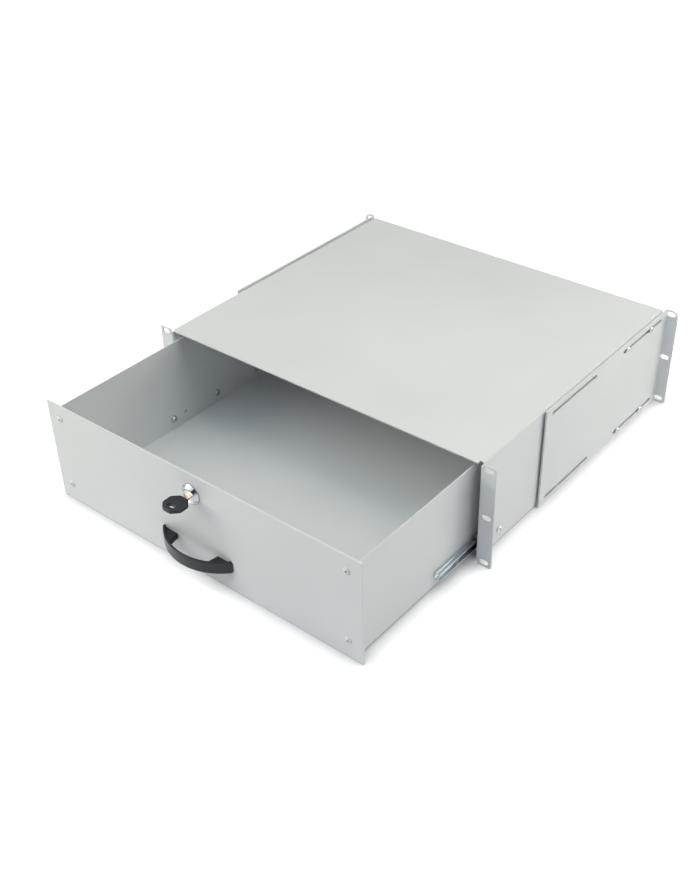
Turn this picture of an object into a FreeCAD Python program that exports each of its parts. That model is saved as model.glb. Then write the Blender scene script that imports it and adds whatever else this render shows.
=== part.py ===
# A locking drawer on ball-bearing slides, in a sheet-steel cover that bolts into a rack.
import FreeCAD, Part
import math
import os
from types import SimpleNamespace
import Sketcher

# Frame: X to the right, Y to the back, Z up. The origin is the middle of the front rack slots,
# on the rear face of the cover's ears. The drawer is drawn pulled out by drawer_open, and all
# its pieces take their depth from the rear face of the front panel. Sizes are in millimetres.
SIZES = {
    # Slots in the ears: a rack's standard spacing sets all the widths and heights
    "rack_slot_pitch": 465.1,
    "rack_slot_rise": 60.325,
    "rack_slot_length": 11.0,
    "rack_slot_height": 6.8,
    "ear_side_margin": 8.75,
    "ear_end_margin": 4.675,
    "ear_corner": 1.5,
    # Cover: top, side walls, front ears and feet folded from one sheet
    "cover_side_inset": 9.55,
    "cover_depth": 394.5,
    "cover_sheet": 1.5,
    "cover_bend": 1.5,
    "cover_foot": 14.0,
    "cover_ear_leg": 3.5,
    "corner_notch_width": 4.5,
    "corner_notch_height": 3.5,
    # Travel of the drawer
    "drawer_open": 188.5,
    "drawer_travel": 250.0,
    "closed_gap": 0.4,
    # Tub
    "tub_rear_gap": 16.4,
    "tub_head_room": 7.5,
    "tub_floor_gap": 1.2,
    "tub_sheet": 1.2,
    "tub_bend": 1.0,
    "tub_flange": 17.0,
    "tub_bend_leg": 3.0,
    "tub_corner_gap": 0.6,
    "tub_spare_hole": 57.8,
    "tub_spare_hole_size": 5.0,
    # Front panel
    "panel_side_gap": 1.7,
    "panel_end_gap": 0.4,
    "panel_sheet": 2.0,
    "panel_corner": 0.8,
    # Blind rivets between the panel and the tub's flanges
    "rivet_inset": 8.5,
    "rivet_upper_drop": 9.6,
    "rivet_lower_rise": 19.9,
    "rivet_shank": 4.0,
    "rivet_head": 9.0,
    "rivet_head_height": 1.7,
    "rivet_bore": 2.2,
    "rivet_bulb": 6.0,
    "rivet_bulb_length": 3.2,
    "mandrel_sink": 0.5,
    "mandrel_head": 3.8,
    "rivet_gap": 0.05,
    # Handle
    "handle_length": 103.0,
    "handle_reach": 23.8,
    "handle_height": 15.0,
    "handle_rise": 32.3,
    "handle_thickness": 2.9,
    "handle_round": 1.0,
    "handle_end_round": 4.0,
    "handle_foot_inset": 21.7,
    "handle_foot_lean": 3.0,
    "handle_foot_drop": 3.0,
    "handle_foot_height": 6.5,
    "handle_screw_inset": 8.0,
    "handle_screw_depth": 7.0,
    "handle_screw_spare": 1.0,
    # Slides: a member on the cover, a member on the tub, and a cage of balls between them
    "slide_rise": 16.3,
    "slide_thickness": 10.0,
    "cover_slide_front": 5.0,
    "cover_slide_sheet": 1.2,
    "cover_slide_lip": 1.1,
    "cover_slide_bend": 0.6,
    "drawer_slide_setback": 127.4,
    "drawer_slide_sheet": 1.0,
    "drawer_slide_depth": 7.6,
    "drawer_slide_bend": 0.5,
    "slide_end_spare": 2.5,
    "ball_row": 5.8,
    "ball_inset": 4.5,
    "ball_size": 2.4,
    "ball_clearance": 0.3,
    "race_depth": 0.35,
    "cage_length": 90.0,
    "cage_sheet": 0.5,
    "cage_bend": 0.4,
    "cage_gap": 0.35,
    "cage_lip": 2.3,
    "cage_stop": 2.0,
    "cage_spare": 5.0,
    "cage_end": 6.0,
    "cage_ball_gap": 0.1,
    # Screws, nuts and washers
    "screw_size": 4.0,
    "screw_hole_gap": 0.1,
    "pan_head": 8.0,
    "pan_head_height": 2.6,
    "pan_head_slope": 1.0,
    "recess_width": 0.9,
    "recess_length": 4.4,
    "recess_depth": 1.5,
    "washer_size": 9.5,
    "washer_thickness": 0.8,
    "nut_side_gap": 0.05,
    "nut_thickness": 2.4,
    "nut_screw_spare": 0.4,
    "flat_screw_size": 3.0,
    "flat_head": 5.6,
    "flat_head_height": 1.3,
    "flat_head_sink": 0.1,
    # Places of the slide screws, from the fronts of the members, and insets from their rears
    "cover_screw_place": 35.4,
    "cover_flat_screw_place": 195.0,
    "cover_flat_screw_inset": 26.0,
    "drawer_screw_inset": 37.0,
    # Rear brackets, clamped through long slots and held off the cover's walls by spacers
    "bracket_reach": 5.5,
    "bracket_overhang": 0.5,
    "bracket_gap": 2.2,
    "bracket_sheet": 2.0,
    "bracket_bend": 1.5,
    "bracket_upper_corner": 8.0,
    "bracket_lower_corner": 2.5,
    "clamp_slot_length": 97.0,
    "clamp_slot_gap": 0.3,
    "clamp_slot_inset": 8.5,
    "clamp_slot_setback": 63.0,
    "clamp_slot_pitch": 159.0,
    "clamp_slot_end_margin": 11.5,
    "clamp_front_room": 7.2,
    "clamp_rear_room": 27.2,
    "clamp_bolt_head": 7.8,
    "clamp_bolt_head_height": 2.2,
    "clamp_bolt_end": 1.0,
    "spacer_size": 9.0,
    # Cam lock
    "lock_drop": 25.1,
    "lock_ring": 24.2,
    "lock_ring_thickness": 4.6,
    "lock_ring_edge": 3.4,
    "lock_ring_face": 18.6,
    "lock_dish_mouth": 16.6,
    "lock_dish_floor": 14.2,
    "lock_dish_depth": 1.6,
    "lock_barrel": 18.0,
    "lock_barrel_length": 14.5,
    "lock_flats": 16.0,
    "lock_hole_gap": 0.1,
    "lock_nut_flats": 22.0,
    "lock_nut_thickness": 3.0,
    "plug_size": 12.4,
    "plug_gap": 0.05,
    "plug_sink": 1.2,
    "plug_end": 0.3,
    "cam_thickness": 2.0,
    "cam_square": 6.0,
    "cam_hub": 16.0,
    "cam_tip_gap": 2.5,
    "cam_width": 12.0,
    "cam_corner": 3.0,
    "cam_screw_size": 3.0,
    "cam_screw_head": 7.6,
    "cam_screw_head_height": 2.2,
    "cam_screw_length": 6.0,
    # Key
    "key_width": 8.0,
    "key_thickness": 2.0,
    "key_gap": 0.2,
    "key_inside": 12.0,
    "keyway_end": 0.8,
    "key_tip": 2.0,
    "key_notch": 1.4,
    "key_notch_pitch": 2.8,
    "key_neck": 5.8,
    "key_tang": 7.0,
    "key_head": 25.8,
    "key_head_corner": 4.5,
    "key_head_thickness": 4.3,
    "key_head_edge": 1.0,
    "key_hole_length": 9.5,
    "key_hole_width": 5.5,
    "key_hole_place": 5.0,
    # Strike under the cover's top, which the cam locks behind
    "strike_sheet": 1.5,
    "strike_width": 30.0,
    "strike_clearance": 7.2,
    "strike_flange": 9.0,
    "strike_gap": 0.5,
}
KEY_NOTCHES = 3
BALLS_IN_ROW = 5
HEXAGON = 6
OCTAGON = 8
# How near two lengths that are read back from a shape must be to count as the same
SAME = 0.01

document = FreeCAD.newDocument("RackDrawer")
sheet = document.addObject("Spreadsheet::Sheet", "Sizes")
for row, (name, value) in enumerate(SIZES.items(), start=1):
    sheet.set(f"A{row}", name)
    sheet.set(f"B{row}", str(value))
    sheet.setAlias(f"B{row}", name)
document.recompute()


class Measure:
    """A number that keeps the formula, from the sheet's sizes, that it was worked out with."""

    def __init__(self, formula, value):
        self.formula = formula
        self.value = value

    def __add__(self, other):
        other = as_measure(other)
        return Measure(f"({self.formula} + {other.formula})", self.value + other.value)

    def __sub__(self, other):
        other = as_measure(other)
        return Measure(f"({self.formula} - {other.formula})", self.value - other.value)

    def __mul__(self, other):
        other = as_measure(other)
        return Measure(f"({self.formula} * {other.formula})", self.value * other.value)

    def __truediv__(self, other):
        other = as_measure(other)
        return Measure(f"({self.formula} / {other.formula})", self.value / other.value)

    def __neg__(self):
        return Measure(f"(0 - {self.formula})", -self.value)

    def root(self):
        return Measure(f"sqrt({self.formula})", math.sqrt(self.value))

    __rmul__ = __mul__
    __radd__ = __add__


def as_measure(number):
    if isinstance(number, Measure):
        return number
    return Measure(f"({number})", float(number))


S = SimpleNamespace(**{name: Measure(f"Sizes.{name}", value) for name, value in SIZES.items()})
NOTHING = Measure("(0)", 0.0)

# Places that several pieces share
cover_half = S.rack_slot_pitch / 2 - S.cover_side_inset
cover_top = S.rack_slot_rise + S.ear_end_margin
cover_wall = cover_half - S.cover_sheet
cover_ceiling = cover_top - S.cover_sheet
ear_half = S.rack_slot_pitch / 2 + S.ear_side_margin
tub_half = cover_wall - S.slide_thickness
tub_length = S.cover_depth + S.cover_sheet + S.closed_gap - S.tub_rear_gap
tub_wall_top = cover_ceiling - S.tub_head_room
tub_floor = S.tub_floor_gap - cover_ceiling
panel_back = -(S.cover_sheet + S.closed_gap + S.drawer_open)
panel_face = panel_back - S.panel_sheet
panel_half = cover_half - S.panel_side_gap
panel_top = cover_top - S.panel_end_gap
tub_back = panel_back + tub_length
rivet_side = tub_half - S.rivet_inset
rivet_upper = tub_wall_top - S.rivet_upper_drop
rivet_lower = tub_floor + S.rivet_lower_rise
handle_level = S.handle_rise - panel_top
handle_foot = S.handle_length / 2 - S.handle_foot_inset
handle_foot_top = handle_level + S.handle_height / 2 - S.handle_foot_drop
handle_foot_level = handle_foot_top - S.handle_foot_height / 2
handle_screw_place = handle_foot + S.handle_screw_inset
screw_hole = S.screw_size / 2 + S.screw_hole_gap

# Places along the slides: the balls roll half as far as the drawer slides
slide_level = tub_floor + S.slide_rise
drawer_slide_front = panel_back + S.drawer_slide_setback
drawer_slide_length = S.cage_length + S.drawer_travel / 2 + S.cage_spare * 2
cover_slide_rear = drawer_slide_front + S.drawer_open + drawer_slide_length + S.slide_end_spare
cover_slide_length = cover_slide_rear - S.cover_slide_front
cage_front = S.cover_slide_front + S.cage_stop + (S.drawer_travel - S.drawer_open) / 2
ball_place = cover_wall - S.slide_thickness + S.ball_inset
race_radius = S.ball_size / 2 + S.ball_clearance
cover_race_face = S.ball_row + race_radius - S.race_depth
drawer_race_face = S.ball_row - race_radius + S.race_depth
slide_web_half = drawer_race_face - S.drawer_slide_sheet - S.drawer_slide_bend

# The cam clears the strike while it lies level, and reaches up behind it when it is turned
lock_level = panel_top - S.lock_drop
cam_length = cover_ceiling - lock_level - S.cam_tip_gap
strike_bottom = lock_level + S.cam_hub / 2 + S.strike_clearance

# Places in the lock, from the panel's front face
plug_front = -(S.lock_ring_thickness - S.plug_sink)
plug_shoulder = S.lock_barrel_length + S.plug_end
cam_back = plug_shoulder + S.cam_thickness
key_end = plug_front + S.key_inside
key_shoulder = plug_front - S.key_neck

# Places on the rear brackets: the clamp bolts stand in the rear slots, with room to slide
bracket_half = cover_top + S.bracket_overhang
bracket_back = cover_half + S.bracket_gap
bracket_face = bracket_back + S.bracket_sheet
bracket_rear = S.cover_depth + S.bracket_reach
clamp_slot_height = S.screw_size + S.clamp_slot_gap * 2
clamp_slot_reach = (S.clamp_slot_length - clamp_slot_height) / 2
clamp_level = bracket_half - S.clamp_slot_inset
rear_slot = bracket_rear - S.clamp_slot_setback
front_slot = rear_slot - S.clamp_slot_pitch
bracket_front = front_slot - S.clamp_slot_length / 2 - S.clamp_slot_end_margin
front_bolt = rear_slot - clamp_slot_reach + S.clamp_front_room
rear_bolt = rear_slot + clamp_slot_reach - S.clamp_rear_room


def vector(x, y, z=0.0):
    return FreeCAD.Vector(x, y, z)


def bind(item, path, measure):
    item.setExpression(path, as_measure(measure).formula)


def new_body(name):
    body = document.addObject("PartDesign::Body", name)
    body.Label = name
    return body


def place(item, x, y, z):
    """Tie an object's place to the sheet."""
    for letter, measure in zip("xyz", (x, y, z)):
        bind(item, f"Placement.Base.{letter}", measure)


def new_sketch(body, name, role, offset):
    sketch = body.newObject("Sketcher::SketchObject", name)
    planes = [feature for feature in body.Origin.OriginFeatures if feature.Role == role]
    sketch.AttachmentSupport = [(planes[0], "")]
    sketch.MapMode = "FlatFace"
    bind(sketch, "AttachmentOffset.Base.z", offset)
    return sketch


def front_sketch(body, name, y=NOTHING):
    """A sketch seen from the front: its axes are X and Z, and it faces forward."""
    return new_sketch(body, name, "XZ_Plane", -as_measure(y))


def side_sketch(body, name, x=NOTHING):
    """A sketch seen from the right: its axes are Y and Z, and it faces right."""
    return new_sketch(body, name, "YZ_Plane", x)


def plan_sketch(body, name, z=NOTHING):
    """A sketch seen from above: its axes are X and Y, and it faces up."""
    return new_sketch(body, name, "XY_Plane", z)


def constrain(sketch, rules):
    """Add constraints; the last item of a rule is the measure that drives it, or None."""
    first = len(sketch.Constraints)
    made = []
    for rule in rules:
        items = list(rule[:-1])
        if rule[-1] is not None:
            items.append(float(rule[-1].value))
        made.append(Sketcher.Constraint(*items))
    sketch.addConstraint(made)
    for index, rule in enumerate(rules, start=first):
        if rule[-1] is not None:
            sketch.setExpression(f"Constraints[{index}]", rule[-1].formula)


def arc_between(centre, radius, start, end):
    """The shorter arc about a centre, and whether it begins at start."""
    first = math.atan2(start.y - centre.y, start.x - centre.x)
    last = math.atan2(end.y - centre.y, end.x - centre.x)
    forward = (last - first) % (2 * math.pi) < math.pi
    if not forward:
        first, last = last, first
    circle = Part.Circle(centre, vector(0, 0, 1), radius)
    return Part.ArcOfCircle(circle, first, last), forward


def outline(sketch, corners, arcs=None):
    """Draw a closed outline. A corner is x, y and, if it is rounded, its radius; arcs gives
    the centre and the radius of each side that isn't straight, by the number of the side."""
    arcs = arcs or {}
    count = len(corners)
    corners = [tuple(as_measure(part) for part in corner) for corner in corners]
    points = [vector(corner[0].value, corner[1].value) for corner in corners]
    rules = []
    pins = []
    sides = []
    trims = []
    for index in range(count):
        pins.append(sketch.addGeometry(Part.Point(points[index]), True))
        rules.append(("DistanceX", -1, 1, pins[-1], 1, corners[index][0]))
        rules.append(("DistanceY", -1, 1, pins[-1], 1, corners[index][1]))
        before = (points[index - 1] - points[index]).normalize()
        after = (points[(index + 1) % count] - points[index]).normalize()
        half = before.getAngle(after) / 2
        radius = corners[index][2].value if len(corners[index]) > 2 else 0.0
        trims.append((radius / math.tan(half) if radius else 0.0, before, after, half))
    for index in range(count):
        following = (index + 1) % count
        if index in arcs:
            centre = vector(arcs[index][0].value, arcs[index][1].value)
            radius = arcs[index][2]
            arc, forward = arc_between(centre, radius.value, points[index], points[following])
            side = sketch.addGeometry(arc, False)
            ends = (1, 2) if forward else (2, 1)
            rules.append(("Radius", side, radius))
        else:
            start = points[index] + trims[index][2] * trims[index][0]
            end = points[following] + trims[following][1] * trims[following][0]
            side = sketch.addGeometry(Part.LineSegment(start, end), False)
            ends = (1, 2)
        sides.append((side, ends))
    for index in range(count):
        arriving, arriving_ends = sides[index - 1]
        leaving, leaving_ends = sides[index]
        if len(corners[index]) == 2:
            rules.append(("Coincident", arriving, arriving_ends[1], pins[index], 1, None))
            rules.append(("Coincident", leaving, leaving_ends[0], pins[index], 1, None))
            continue
        trim, before, after, half = trims[index]
        radius = corners[index][2]
        middle = (before + after).normalize()
        centre = points[index] + middle * (radius.value / math.sin(half))
        start = points[index] + before * trim
        end = points[index] + after * trim
        arc, forward = arc_between(centre, radius.value, start, end)
        corner = sketch.addGeometry(arc, False)
        ends = (1, 2) if forward else (2, 1)
        rules.append(("PointOnObject", pins[index], 1, arriving, None))
        rules.append(("PointOnObject", pins[index], 1, leaving, None))
        rules.append(("Tangent", arriving, arriving_ends[1], corner, ends[0], None))
        rules.append(("Tangent", corner, ends[1], leaving, leaving_ends[0], None))
        rules.append(("Radius", corner, radius))
    constrain(sketch, rules)


def rectangle(sketch, left, right, bottom, top, radius=None):
    corners = [(left, bottom), (right, bottom), (right, top), (left, top)]
    if radius is not None:
        corners = [corner + (radius,) for corner in corners]
    outline(sketch, corners)


def round_hole(sketch, x, y, radius):
    x, y, radius = as_measure(x), as_measure(y), as_measure(radius)
    circle = Part.Circle(vector(x.value, y.value), vector(0, 0, 1), radius.value)
    hole = sketch.addGeometry(circle, False)
    constrain(sketch, [
        ("DistanceX", -1, 1, hole, 3, x),
        ("DistanceY", -1, 1, hole, 3, y),
        ("Radius", hole, radius),
    ])


def long_hole(sketch, x, y, length, height):
    """A slot with round ends that runs along the sketch's first axis."""
    x, y = as_measure(x), as_measure(y)
    reach = (length - height) / 2
    radius = height / 2
    level = y.value
    left = vector((x - reach).value, level)
    right = vector((x + reach).value, level)
    rise = vector(0, radius.value)
    up = vector(0, 0, 1)
    quarter = math.pi / 2
    items = [
        Part.ArcOfCircle(Part.Circle(left, up, radius.value), quarter, 3 * quarter),
        Part.LineSegment(left - rise, right - rise),
        Part.ArcOfCircle(Part.Circle(right, up, radius.value), -quarter, quarter),
        Part.LineSegment(right + rise, left + rise),
    ]
    first, lower, last, upper = [sketch.addGeometry(item, False) for item in items]
    constrain(sketch, [
        ("DistanceX", -1, 1, first, 3, x - reach),
        ("DistanceY", -1, 1, first, 3, y),
        ("DistanceX", -1, 1, last, 3, x + reach),
        ("DistanceY", -1, 1, last, 3, y),
        ("Radius", first, radius),
        ("Radius", last, radius),
        ("Tangent", first, 2, lower, 1, None),
        ("Tangent", lower, 2, last, 1, None),
        ("Tangent", last, 2, upper, 1, None),
        ("Tangent", upper, 2, first, 1, None),
    ])


def pad(body, name, sketch, length, reverse=False, both=False):
    feature = body.newObject("PartDesign::Pad", name)
    feature.Profile = sketch
    feature.Reversed = reverse
    feature.SideType = "Symmetric" if both else "One side"
    bind(feature, "Length", length)
    return feature


def cut(body, name, sketch, length=None, reverse=False):
    """Cut a sketch out of a body: so deep, or right through both ways where no depth is given."""
    feature = body.newObject("PartDesign::Pocket", name)
    feature.Profile = sketch
    feature.Reversed = reverse
    if length is None:
        feature.Type = "ThroughAll"
        feature.SideType = "Symmetric"
    else:
        bind(feature, "Length", length)
    return feature


def turn(body, name, sketch, axis="V_Axis"):
    feature = body.newObject("PartDesign::Revolution", name)
    feature.Profile = sketch
    feature.ReferenceAxis = (sketch, [axis])
    feature.Angle = 360.0
    return feature


def mirror(name, source):
    """The same piece for the left side."""
    twin = document.addObject("Part::Mirroring", name)
    twin.Label = name
    twin.Source = source
    twin.Normal = vector(1, 0, 0)
    return twin


def group(name, source, places):
    """Copies of one piece; a place is x, y, z and the rotation there."""
    links = []
    for index, (x, y, z, rotation) in enumerate(places, start=1):
        link = document.addObject("App::Link", f"{name}_{index}")
        link.LinkedObject = source
        link.Placement = FreeCAD.Placement(vector(0, 0, 0), rotation)
        place(link, x, y, z)
        links.append(link)
    compound = document.addObject("Part::Compound", name)
    compound.Label = name
    compound.Links = links
    return compound


# A screw is drawn upright, with its head on top; these turn the head to face the way named
HEAD_RIGHT = FreeCAD.Rotation(vector(0, 1, 0), 90)
HEAD_LEFT = FreeCAD.Rotation(vector(0, 1, 0), -90)
HEAD_BACK = FreeCAD.Rotation(vector(1, 0, 0), -90)
HEAD_FRONT = FreeCAD.Rotation(vector(1, 0, 0), 90)
UPRIGHT = FreeCAD.Rotation()


def both_sides(x, outward=True):
    """The right and left places of x, with the rotation of a screw whose head faces outward."""
    turns = (HEAD_RIGHT, HEAD_LEFT) if outward else (HEAD_LEFT, HEAD_RIGHT)
    return ((x, turns[0]), (-x, turns[1]))


def ear_slots(sketch):
    for side in (1, -1):
        for level in (S.rack_slot_rise, NOTHING, -S.rack_slot_rise):
            middle = S.rack_slot_pitch / 2 * side
            long_hole(sketch, middle, level, S.rack_slot_length, S.rack_slot_height)


def make_cover():
    body = new_body("cover")
    outer_bend = S.cover_bend + S.cover_sheet
    foot = cover_half - S.cover_foot
    floor = S.cover_sheet - cover_top
    hoop = front_sketch(body, "cover_section", S.cover_ear_leg)
    outline(hoop, [
        (foot, -cover_top),
        (cover_half, -cover_top, outer_bend),
        (cover_half, cover_top, outer_bend),
        (-cover_half, cover_top, outer_bend),
        (-cover_half, -cover_top, outer_bend),
        (-foot, -cover_top),
        (-foot, floor),
        (-cover_wall, floor, S.cover_bend),
        (-cover_wall, cover_ceiling, S.cover_bend),
        (cover_wall, cover_ceiling, S.cover_bend),
        (cover_wall, floor, S.cover_bend),
        (foot, floor),
    ])
    pad(body, "cover_walls", hoop, S.cover_depth - S.cover_ear_leg, reverse=True)

    leg_top = cover_top - S.corner_notch_height
    bends = plan_sketch(body, "ear_bends", -leg_top)
    for side in (1, -1):
        outline(bends, [
            (cover_wall * side, S.cover_ear_leg),
            (cover_wall * side, -S.cover_sheet, outer_bend),
            (ear_half * side, -S.cover_sheet),
            (ear_half * side, NOTHING),
            (cover_half * side, NOTHING, S.cover_bend),
            (cover_half * side, S.cover_ear_leg),
        ])
    pad(body, "ear_bend", bends, leg_top * 2)

    ears = front_sketch(body, "ear_plates")
    for side in (1, -1):
        inner = (cover_half + S.cover_bend) * side
        outline(ears, [
            (inner, -cover_top),
            (ear_half * side, -cover_top, S.ear_corner),
            (ear_half * side, cover_top, S.ear_corner),
            (inner, cover_top),
        ])
    pad(body, "ears", ears, S.cover_sheet)

    lip = front_sketch(body, "top_front", S.cover_ear_leg)
    lip_half = cover_half - S.corner_notch_width
    rectangle(lip, -lip_half, lip_half, cover_ceiling, cover_top)
    pad(body, "top_front_edge", lip, S.cover_ear_leg + S.cover_sheet)

    slots = front_sketch(body, "rack_slots")
    ear_slots(slots)
    cut(body, "rack_slot_cut", slots)

    holes = side_sketch(body, "wall_holes")
    round_hole(holes, S.cover_slide_front + S.cover_screw_place, slide_level, screw_hole)
    for y in (front_bolt, rear_bolt):
        for level in (clamp_level, -clamp_level):
            round_hole(holes, y, level, screw_hole)
    cut(body, "wall_hole_cut", holes)

    sinks = side_sketch(body, "flat_screw_holes")
    for y in flat_screw_places():
        round_hole(sinks, y, slide_level, S.flat_screw_size / 2 + S.screw_hole_gap)
    cut(body, "flat_screw_cut", sinks)
    return body


def flat_screw_places():
    first = S.cover_slide_front + S.cover_flat_screw_place
    return (first, cover_slide_rear - S.cover_flat_screw_inset)


def make_countersinks(cover):
    """The cones that the flat screws' heads sit in, cut from both walls of the cover."""
    cone = document.addObject("Part::Cone", "countersink")
    bind(cone, "Radius1", S.flat_screw_size / 2 + S.screw_hole_gap)
    bind(cone, "Radius2", S.flat_head / 2 + S.screw_hole_gap)
    bind(cone, "Height", S.flat_head_height + S.flat_head_sink)
    places = []
    for y in flat_screw_places():
        depth = cover_half - S.flat_head_height - S.flat_head_sink
        for x, rotation in both_sides(depth):
            places.append((x, y, slide_level, rotation))
    cones = group("countersinks", cone, places)
    result = document.addObject("Part::Cut", "case_cover")
    result.Label = "case_cover"
    result.Base = cover
    result.Tool = cones
    return result


def make_strike():
    """An angle welded under the cover's top; the cam turns up behind its upright leg."""
    body = new_body("lock_strike")
    closed_cam = panel_face + S.drawer_open + plug_shoulder
    back = closed_cam - S.strike_gap
    section = side_sketch(body, "strike_section")
    outline(section, [
        (back, strike_bottom),
        (back, cover_ceiling, S.cover_bend + S.strike_sheet),
        (back - S.strike_flange, cover_ceiling),
        (back - S.strike_flange, cover_ceiling - S.strike_sheet),
        (back - S.strike_sheet, cover_ceiling - S.strike_sheet, S.cover_bend),
        (back - S.strike_sheet, strike_bottom),
    ])
    pad(body, "strike", section, S.strike_width, both=True)
    return body


def make_bracket():
    body = new_body("rear_bracket_right")
    outer_bend = S.bracket_bend + S.bracket_sheet
    ear_face = bracket_rear - S.bracket_sheet
    plan = plan_sketch(body, "bracket_section", -bracket_half)
    outline(plan, [
        (bracket_back, bracket_front),
        (bracket_face, bracket_front),
        (bracket_face, ear_face, S.bracket_bend),
        (ear_half, ear_face),
        (ear_half, bracket_rear),
        (bracket_back, bracket_rear, outer_bend),
    ])
    pad(body, "bracket_plate", plan, bracket_half * 2)

    slots = side_sketch(body, "clamp_slots", bracket_back)
    for y in (front_slot, rear_slot):
        for level in (clamp_level, -clamp_level):
            long_hole(slots, y, level, S.clamp_slot_length, clamp_slot_height)
    cut(body, "clamp_slot_cut", slots, S.bracket_sheet * 2, reverse=True)

    ear_holes = front_sketch(body, "bracket_rack_slots", bracket_rear)
    for level in (S.rack_slot_rise, NOTHING, -S.rack_slot_rise):
        middle = S.rack_slot_pitch / 2
        long_hole(ear_holes, middle, level, S.rack_slot_length, S.rack_slot_height)
    cut(body, "bracket_rack_slot_cut", ear_holes, S.bracket_sheet * 2, reverse=True)

    corners = front_sketch(body, "bracket_corners", bracket_rear)
    upper = S.bracket_upper_corner
    lower = S.bracket_lower_corner
    spare = S.bracket_sheet
    outline(corners, [
        (ear_half - upper, bracket_half),
        (ear_half, bracket_half - upper),
        (ear_half + spare, bracket_half - upper),
        (ear_half + spare, bracket_half + spare),
        (ear_half - upper, bracket_half + spare),
    ], {0: (ear_half - upper, bracket_half - upper, upper)})
    outline(corners, [
        (ear_half - lower, -bracket_half),
        (ear_half, lower - bracket_half),
        (ear_half + spare, lower - bracket_half),
        (ear_half + spare, -(bracket_half + spare)),
        (ear_half - lower, -(bracket_half + spare)),
    ], {0: (ear_half - lower, lower - bracket_half, lower)})
    cut(body, "bracket_corner_cut", corners, S.bracket_sheet * 2, reverse=True)
    return body


def channel(sketch, back, front, lip, outer, inner, outer_race, inner_race, bend, gauge):
    """A rolled slide section: a web from back to front, and two flanges out to the lip, each
    with a track of the given radii round the balls' centres."""
    level = slide_level
    outer_turn = bend + gauge
    outer_reach = (outer_race * outer_race - half_chord(outer) * half_chord(outer)).root()
    inner_reach = (inner_race * inner_race - half_chord(inner) * half_chord(inner)).root()
    step = 1 if back.value > lip.value else -1
    row = S.ball_row
    corners = [
        (lip, level - outer),
        (ball_place - outer_reach * step, level - outer),
        (ball_place + outer_reach * step, level - outer),
        (back, level - outer, outer_turn),
        (back, level + outer, outer_turn),
        (ball_place + outer_reach * step, level + outer),
        (ball_place - outer_reach * step, level + outer),
        (lip, level + outer),
        (lip, level + inner),
        (ball_place - inner_reach * step, level + inner),
        (ball_place + inner_reach * step, level + inner),
        (front, level + inner, bend),
        (front, level - inner, bend),
        (ball_place + inner_reach * step, level - inner),
        (ball_place - inner_reach * step, level - inner),
        (lip, level - inner),
    ]
    outline(sketch, corners, {
        1: (ball_place, level - row, outer_race),
        5: (ball_place, level + row, outer_race),
        9: (ball_place, level + row, inner_race),
        13: (ball_place, level - row, inner_race),
    })


def half_chord(face):
    return face - S.ball_row


def make_cover_slide():
    body = new_body("cover_slide_right")
    section = front_sketch(body, "cover_slide_section", S.cover_slide_front)
    web = cover_wall - S.cover_slide_sheet
    channel(
        section, cover_wall, web, tub_half + S.cover_slide_lip,
        cover_race_face + S.cover_slide_sheet, cover_race_face,
        race_radius + S.cover_slide_sheet, race_radius,
        S.cover_slide_bend, S.cover_slide_sheet)
    pad(body, "cover_slide_rail", section, cover_slide_length, reverse=True)
    holes = side_sketch(body, "cover_slide_holes", cover_wall)
    round_hole(holes, S.cover_slide_front + S.cover_screw_place, slide_level, screw_hole)
    for y in flat_screw_places():
        round_hole(holes, y, slide_level, S.flat_screw_size / 2 + S.screw_hole_gap)
    cut(body, "cover_slide_hole_cut", holes, S.cover_slide_sheet * 2)
    return body


def make_drawer_slide():
    body = new_body("drawer_slide_right")
    section = front_sketch(body, "drawer_slide_section", drawer_slide_front)
    web = tub_half + S.drawer_slide_sheet
    channel(
        section, tub_half, web, tub_half + S.drawer_slide_depth,
        drawer_race_face, drawer_race_face - S.drawer_slide_sheet,
        race_radius, race_radius + S.drawer_slide_sheet,
        S.drawer_slide_bend, S.drawer_slide_sheet)
    pad(body, "drawer_slide_rail", section, drawer_slide_length, reverse=True)
    holes = side_sketch(body, "drawer_slide_holes", tub_half)
    for y in drawer_screw_places():
        round_hole(holes, y, slide_level, screw_hole)
    cut(body, "drawer_slide_hole_cut", holes, S.drawer_slide_sheet * 2, reverse=True)
    return body


def drawer_screw_places():
    first = drawer_slide_front + S.drawer_screw_inset
    last = drawer_slide_front + drawer_slide_length - S.drawer_screw_inset
    return (first, (first + last) / 2, last)


def make_cage():
    """The thin strip that keeps the balls apart, wrapped round the drawer's slide member."""
    body = new_body("ball_cage_right")
    web_inside = tub_half + S.drawer_slide_depth + S.cage_gap
    web_outside = web_inside + S.cage_sheet
    lip = ball_place - S.cage_lip
    outer = S.ball_row + S.cage_sheet / 2
    inner = S.ball_row - S.cage_sheet / 2
    level = slide_level
    section = front_sketch(body, "cage_section", cage_front)
    outline(section, [
        (lip, level - outer),
        (web_outside, level - outer, S.cage_bend + S.cage_sheet),
        (web_outside, level + outer, S.cage_bend + S.cage_sheet),
        (lip, level + outer),
        (lip, level + inner),
        (web_inside, level + inner, S.cage_bend),
        (web_inside, level - inner, S.cage_bend),
        (lip, level - inner),
    ])
    pad(body, "cage_strip", section, S.cage_length, reverse=True)
    windows = plan_sketch(body, "ball_windows", level)
    for y in ball_places():
        round_hole(windows, ball_place, y, S.ball_size / 2 + S.cage_ball_gap)
    cut(body, "ball_window_cut", windows)
    return body


def ball_places():
    pitch = (S.cage_length - S.cage_end * 2) / (BALLS_IN_ROW - 1)
    first = cage_front + S.cage_end
    return [first + pitch * index for index in range(BALLS_IN_ROW)]


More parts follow.
